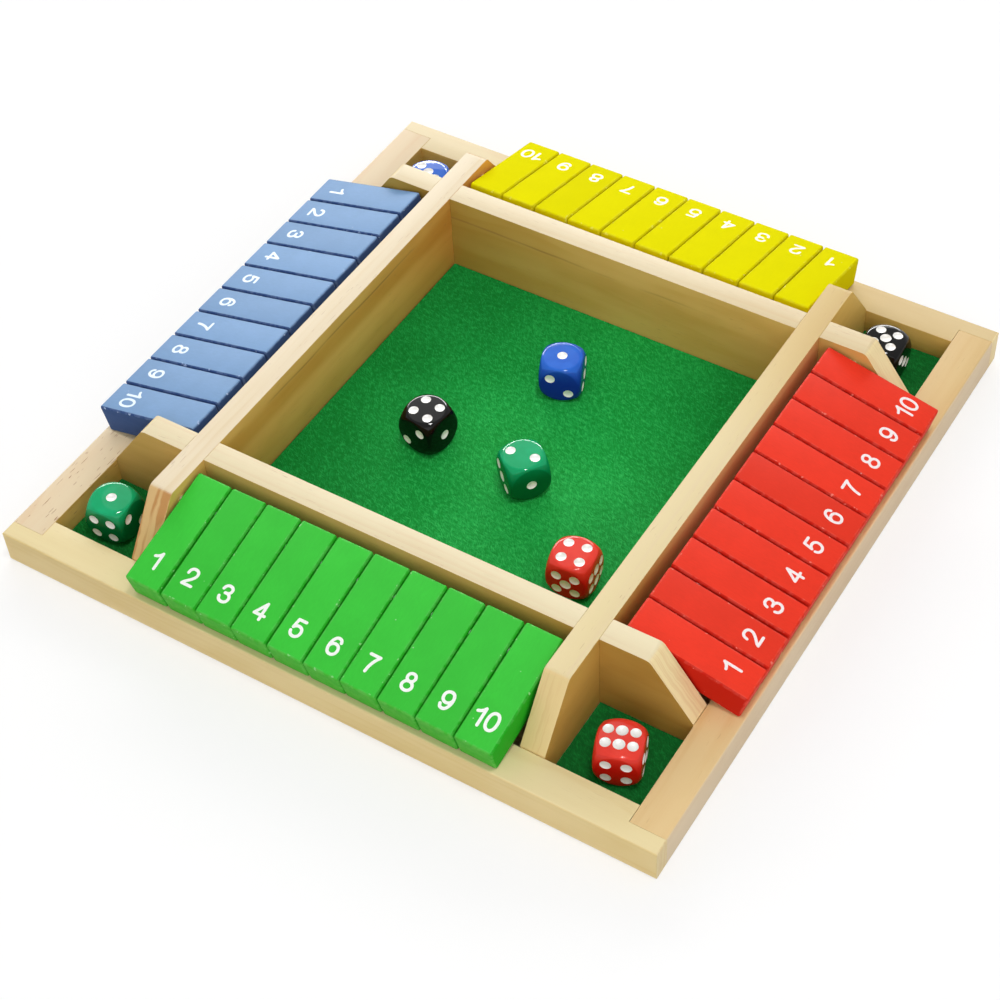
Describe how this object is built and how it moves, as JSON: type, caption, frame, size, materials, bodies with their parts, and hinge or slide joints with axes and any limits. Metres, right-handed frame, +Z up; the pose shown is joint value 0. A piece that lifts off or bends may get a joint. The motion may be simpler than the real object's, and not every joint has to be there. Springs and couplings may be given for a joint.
{
  "type": "shut the box game",
  "caption": "Square wooden shut the box game for four players: rows of hinged number tiles round a felted dice pit, with dice in the pit and in corner wells.",
  "frame": {"origin": "middle of the underside of the board", "axes": "+Z up; the green row is on the -Y side, the red row on the +X side"},
  "size_m": [0.2568, 0.2568, 0.0362],
  "materials": {
    "pine": "sanded, clear satin lacquer",
    "steel": "drawn wire",
    "felt": "pressed felt",
    "green_paint": "satin paint on wood",
    "red_paint": "satin paint on wood",
    "yellow_paint": "satin paint on wood",
    "blue_paint": "satin paint on wood",
    "green_plastic": "polished",
    "red_plastic": "polished",
    "black_plastic": "polished",
    "blue_plastic": "polished",
    "white_ink": "printed numbers and pip paint"
  },
  "bodies": {
    "board": {"base_panel": "pine", "front_rail": "pine", "back_rail": "pine", "left_rail": "pine", "right_rail": "pine", "front_wall": "pine", "back_wall": "pine", "left_wall": "pine", "right_wall": "pine", "hinge_rods": "steel", "pit_felt": "felt", "well_felts": "felt"},
    "blue_pit_die": {"blue_pit_die": "blue_plastic"},
    "green_pit_die": {"green_pit_die": "green_plastic"},
    "red_pit_die": {"red_pit_die": "red_plastic"},
    "black_pit_die": {"black_pit_die": "black_plastic"},
    "green_well_die": {"green_well_die": "green_plastic"},
    "red_well_die": {"red_well_die": "red_plastic"},
    "black_well_die": {"black_well_die": "black_plastic"},
    "blue_well_die": {"blue_well_die": "blue_plastic"},
    "green_tile_1": {"green_tile_1": "green_paint"},
    "green_tile_2": {"green_tile_2": "green_paint"},
    "green_tile_3": {"green_tile_3": "green_paint"},
    "green_tile_4": {"green_tile_4": "green_paint"},
    "green_tile_5": {"green_tile_5": "green_paint"},
    "green_tile_6": {"green_tile_6": "green_paint"},
    "green_tile_7": {"green_tile_7": "green_paint"},
    "green_tile_8": {"green_tile_8": "green_paint"},
    "green_tile_9": {"green_tile_9": "green_paint"},
    "green_tile_10": {"green_tile_10": "green_paint"},
    "red_tile_1": {"red_tile_1": "red_paint"},
    "red_tile_2": {"red_tile_2": "red_paint"},
    "red_tile_3": {"red_tile_3": "red_paint"},
    "red_tile_4": {"red_tile_4": "red_paint"},
    "red_tile_5": {"red_tile_5": "red_paint"},
    "red_tile_6": {"red_tile_6": "red_paint"},
    "red_tile_7": {"red_tile_7": "red_paint"},
    "red_tile_8": {"red_tile_8": "red_paint"},
    "red_tile_9": {"red_tile_9": "red_paint"},
    "red_tile_10": {"red_tile_10": "red_paint"},
    "yellow_tile_1": {"yellow_tile_1": "yellow_paint"},
    "yellow_tile_2": {"yellow_tile_2": "yellow_paint"},
    "yellow_tile_3": {"yellow_tile_3": "yellow_paint"},
    "yellow_tile_4": {"yellow_tile_4": "yellow_paint"},
    "yellow_tile_5": {"yellow_tile_5": "yellow_paint"},
    "yellow_tile_6": {"yellow_tile_6": "yellow_paint"},
    "yellow_tile_7": {"yellow_tile_7": "yellow_paint"},
    "yellow_tile_8": {"yellow_tile_8": "yellow_paint"},
    "yellow_tile_9": {"yellow_tile_9": "yellow_paint"},
    "yellow_tile_10": {"yellow_tile_10": "yellow_paint"},
    "blue_tile_1": {"blue_tile_1": "blue_paint"},
    "blue_tile_2": {"blue_tile_2": "blue_paint"},
    "blue_tile_3": {"blue_tile_3": "blue_paint"},
    "blue_tile_4": {"blue_tile_4": "blue_paint"},
    "blue_tile_5": {"blue_tile_5": "blue_paint"},
    "blue_tile_6": {"blue_tile_6": "blue_paint"},
    "blue_tile_7": {"blue_tile_7": "blue_paint"},
    "blue_tile_8": {"blue_tile_8": "blue_paint"},
    "blue_tile_9": {"blue_tile_9": "blue_paint"},
    "blue_tile_10": {"blue_tile_10": "blue_paint"}
  },
  "joints": [
    {"name": "blue_pit_die_lift", "type": "slide", "parent": "board", "child": "blue_pit_die", "axis": [0, 0, 1], "range_m": [0, 0.06]},
    {"name": "green_pit_die_lift", "type": "slide", "parent": "board", "child": "green_pit_die", "axis": [0, 0, 1], "range_m": [0, 0.06]},
    {"name": "red_pit_die_lift", "type": "slide", "parent": "board", "child": "red_pit_die", "axis": [0, 0, 1], "range_m": [0, 0.06]},
    {"name": "black_pit_die_lift", "type": "slide", "parent": "board", "child": "black_pit_die", "axis": [0, 0, 1], "range_m": [0, 0.06]},
    {"name": "green_well_die_lift", "type": "slide", "parent": "board", "child": "green_well_die", "axis": [0, 0, 1], "range_m": [0, 0.06]},
    {"name": "red_well_die_lift", "type": "slide", "parent": "board", "child": "red_well_die", "axis": [0, 0, 1], "range_m": [0, 0.06]},
    {"name": "black_well_die_lift", "type": "slide", "parent": "board", "child": "black_well_die", "axis": [0, 0, 1], "range_m": [0, 0.06]},
    {"name": "blue_well_die_lift", "type": "slide", "parent": "board", "child": "blue_well_die", "axis": [0, 0, 1], "range_m": [0, 0.06]},
    {"name": "green_tile_1_hinge", "type": "hinge", "parent": "board", "child": "green_tile_1", "pos_m": [-0.06435, -0.09525, 0.03], "axis": [-1, 0, 0], "range_deg": [0, 143.6]},
    {"name": "green_tile_2_hinge", "type": "hinge", "parent": "board", "child": "green_tile_2", "pos_m": [-0.05005, -0.09525, 0.03], "axis": [-1, 0, 0], "range_deg": [0, 158.5]},
    {"name": "green_tile_3_hinge", "type": "hinge", "parent": "board", "child": "green_tile_3", "pos_m": [-0.03575, -0.09525, 0.03], "axis": [-1, 0, 0], "range_deg": [0, 158.5]},
    {"name": "green_tile_4_hinge", "type": "hinge", "parent": "board", "child": "green_tile_4", "pos_m": [-0.02145, -0.09525, 0.03], "axis": [-1, 0, 0], "range_deg": [0, 158.5]},
    {"name": "green_tile_5_hinge", "type": "hinge", "parent": "board", "child": "green_tile_5", "pos_m": [-0.00715, -0.09525, 0.03], "axis": [-1, 0, 0], "range_deg": [0, 158.5]},
    {"name": "green_tile_6_hinge", "type": "hinge", "parent": "board", "child": "green_tile_6", "pos_m": [0.00715, -0.09525, 0.03], "axis": [-1, 0, 0], "range_deg": [0, 158.5]},
    {"name": "green_tile_7_hinge", "type": "hinge", "parent": "board", "child": "green_tile_7", "pos_m": [0.02145, -0.09525, 0.03], "axis": [-1, 0, 0], "range_deg": [0, 158.5]},
    {"name": "green_tile_8_hinge", "type": "hinge", "parent": "board", "child": "green_tile_8", "pos_m": [0.03575, -0.09525, 0.03], "axis": [-1, 0, 0], "range_deg": [0, 158.5]},
    {"name": "green_tile_9_hinge", "type": "hinge", "parent": "board", "child": "green_tile_9", "pos_m": [0.05005, -0.09525, 0.03], "axis": [-1, 0, 0], "range_deg": [0, 158.5]},
    {"name": "green_tile_10_hinge", "type": "hinge", "parent": "board", "child": "green_tile_10", "pos_m": [0.06435, -0.09525, 0.03], "axis": [-1, 0, 0], "range_deg": [0, 158.5]},
    {"name": "red_tile_1_hinge", "type": "hinge", "parent": "board", "child": "red_tile_1", "pos_m": [0.09525, -0.06435, 0.03], "axis": [0, -1, 0], "range_deg": [0, 143.6]},
    {"name": "red_tile_2_hinge", "type": "hinge", "parent": "board", "child": "red_tile_2", "pos_m": [0.09525, -0.05005, 0.03], "axis": [0, -1, 0], "range_deg": [0, 158.5]},
    {"name": "red_tile_3_hinge", "type": "hinge", "parent": "board", "child": "red_tile_3", "pos_m": [0.09525, -0.03575, 0.03], "axis": [0, -1, 0], "range_deg": [0, 158.5]},
    {"name": "red_tile_4_hinge", "type": "hinge", "parent": "board", "child": "red_tile_4", "pos_m": [0.09525, -0.02145, 0.03], "axis": [0, -1, 0], "range_deg": [0, 158.5]},
    {"name": "red_tile_5_hinge", "type": "hinge", "parent": "board", "child": "red_tile_5", "pos_m": [0.09525, -0.00715, 0.03], "axis": [0, -1, 0], "range_deg": [0, 158.5]},
    {"name": "red_tile_6_hinge", "type": "hinge", "parent": "board", "child": "red_tile_6", "pos_m": [0.09525, 0.00715, 0.03], "axis": [0, -1, 0], "range_deg": [0, 158.5]},
    {"name": "red_tile_7_hinge", "type": "hinge", "parent": "board", "child": "red_tile_7", "pos_m": [0.09525, 0.02145, 0.03], "axis": [0, -1, 0], "range_deg": [0, 158.5]},
    {"name": "red_tile_8_hinge", "type": "hinge", "parent": "board", "child": "red_tile_8", "pos_m": [0.09525, 0.03575, 0.03], "axis": [0, -1, 0], "range_deg": [0, 158.5]},
    {"name": "red_tile_9_hinge", "type": "hinge", "parent": "board", "child": "red_tile_9", "pos_m": [0.09525, 0.05005, 0.03], "axis": [0, -1, 0], "range_deg": [0, 158.5]},
    {"name": "red_tile_10_hinge", "type": "hinge", "parent": "board", "child": "red_tile_10", "pos_m": [0.09525, 0.06435, 0.03], "axis": [0, -1, 0], "range_deg": [0, 158.5]},
    {"name": "yellow_tile_1_hinge", "type": "hinge", "parent": "board", "child": "yellow_tile_1", "pos_m": [0.06435, 0.09525, 0.03], "axis": [1, 0, 0], "range_deg": [0, 143.6]},
    {"name": "yellow_tile_2_hinge", "type": "hinge", "parent": "board", "child": "yellow_tile_2", "pos_m": [0.05005, 0.09525, 0.03], "axis": [1, 0, 0], "range_deg": [0, 158.5]},
    {"name": "yellow_tile_3_hinge", "type": "hinge", "parent": "board", "child": "yellow_tile_3", "pos_m": [0.03575, 0.09525, 0.03], "axis": [1, 0, 0], "range_deg": [0, 158.5]},
    {"name": "yellow_tile_4_hinge", "type": "hinge", "parent": "board", "child": "yellow_tile_4", "pos_m": [0.02145, 0.09525, 0.03], "axis": [1, 0, 0], "range_deg": [0, 158.5]},
    {"name": "yellow_tile_5_hinge", "type": "hinge", "parent": "board", "child": "yellow_tile_5", "pos_m": [0.00715, 0.09525, 0.03], "axis": [1, 0, 0], "range_deg": [0, 158.5]},
    {"name": "yellow_tile_6_hinge", "type": "hinge", "parent": "board", "child": "yellow_tile_6", "pos_m": [-0.00715, 0.09525, 0.03], "axis": [1, 0, 0], "range_deg": [0, 158.5]},
    {"name": "yellow_tile_7_hinge", "type": "hinge", "parent": "board", "child": "yellow_tile_7", "pos_m": [-0.02145, 0.09525, 0.03], "axis": [1, 0, 0], "range_deg": [0, 158.5]},
    {"name": "yellow_tile_8_hinge", "type": "hinge", "parent": "board", "child": "yellow_tile_8", "pos_m": [-0.03575, 0.09525, 0.03], "axis": [1, 0, 0], "range_deg": [0, 158.5]},
    {"name": "yellow_tile_9_hinge", "type": "hinge", "parent": "board", "child": "yellow_tile_9", "pos_m": [-0.05005, 0.09525, 0.03], "axis": [1, 0, 0], "range_deg": [0, 158.5]},
    {"name": "yellow_tile_10_hinge", "type": "hinge", "parent": "board", "child": "yellow_tile_10", "pos_m": [-0.06435, 0.09525, 0.03], "axis": [1, 0, 0], "range_deg": [0, 158.5]},
    {"name": "blue_tile_1_hinge", "type": "hinge", "parent": "board", "child": "blue_tile_1", "pos_m": [-0.09525, 0.06435, 0.03], "axis": [0, 1, 0], "range_deg": [0, 143.6]},
    {"name": "blue_tile_2_hinge", "type": "hinge", "parent": "board", "child": "blue_tile_2", "pos_m": [-0.09525, 0.05005, 0.03], "axis": [0, 1, 0], "range_deg": [0, 158.5]},
    {"name": "blue_tile_3_hinge", "type": "hinge", "parent": "board", "child": "blue_tile_3", "pos_m": [-0.09525, 0.03575, 0.03], "axis": [0, 1, 0], "range_deg": [0, 158.5]},
    {"name": "blue_tile_4_hinge", "type": "hinge", "parent": "board", "child": "blue_tile_4", "pos_m": [-0.09525, 0.02145, 0.03], "axis": [0, 1, 0], "range_deg": [0, 158.5]},
    {"name": "blue_tile_5_hinge", "type": "hinge", "parent": "board", "child": "blue_tile_5", "pos_m": [-0.09525, 0.00715, 0.03], "axis": [0, 1, 0], "range_deg": [0, 158.5]},
    {"name": "blue_tile_6_hinge", "type": "hinge", "parent": "board", "child": "blue_tile_6", "pos_m": [-0.09525, -0.00715, 0.03], "axis": [0, 1, 0], "range_deg": [0, 158.5]},
    {"name": "blue_tile_7_hinge", "type": "hinge", "parent": "board", "child": "blue_tile_7", "pos_m": [-0.09525, -0.02145, 0.03], "axis": [0, 1, 0], "range_deg": [0, 158.5]},
    {"name": "blue_tile_8_hinge", "type": "hinge", "parent": "board", "child": "blue_tile_8", "pos_m": [-0.09525, -0.03575, 0.03], "axis": [0, 1, 0], "range_deg": [0, 158.5]},
    {"name": "blue_tile_9_hinge", "type": "hinge", "parent": "board", "child": "blue_tile_9", "pos_m": [-0.09525, -0.05005, 0.03], "axis": [0, 1, 0], "range_deg": [0, 158.5]},
    {"name": "blue_tile_10_hinge", "type": "hinge", "parent": "board", "child": "blue_tile_10", "pos_m": [-0.09525, -0.06435, 0.03], "axis": [0, 1, 0], "range_deg": [0, 158.5]}
  ]
}
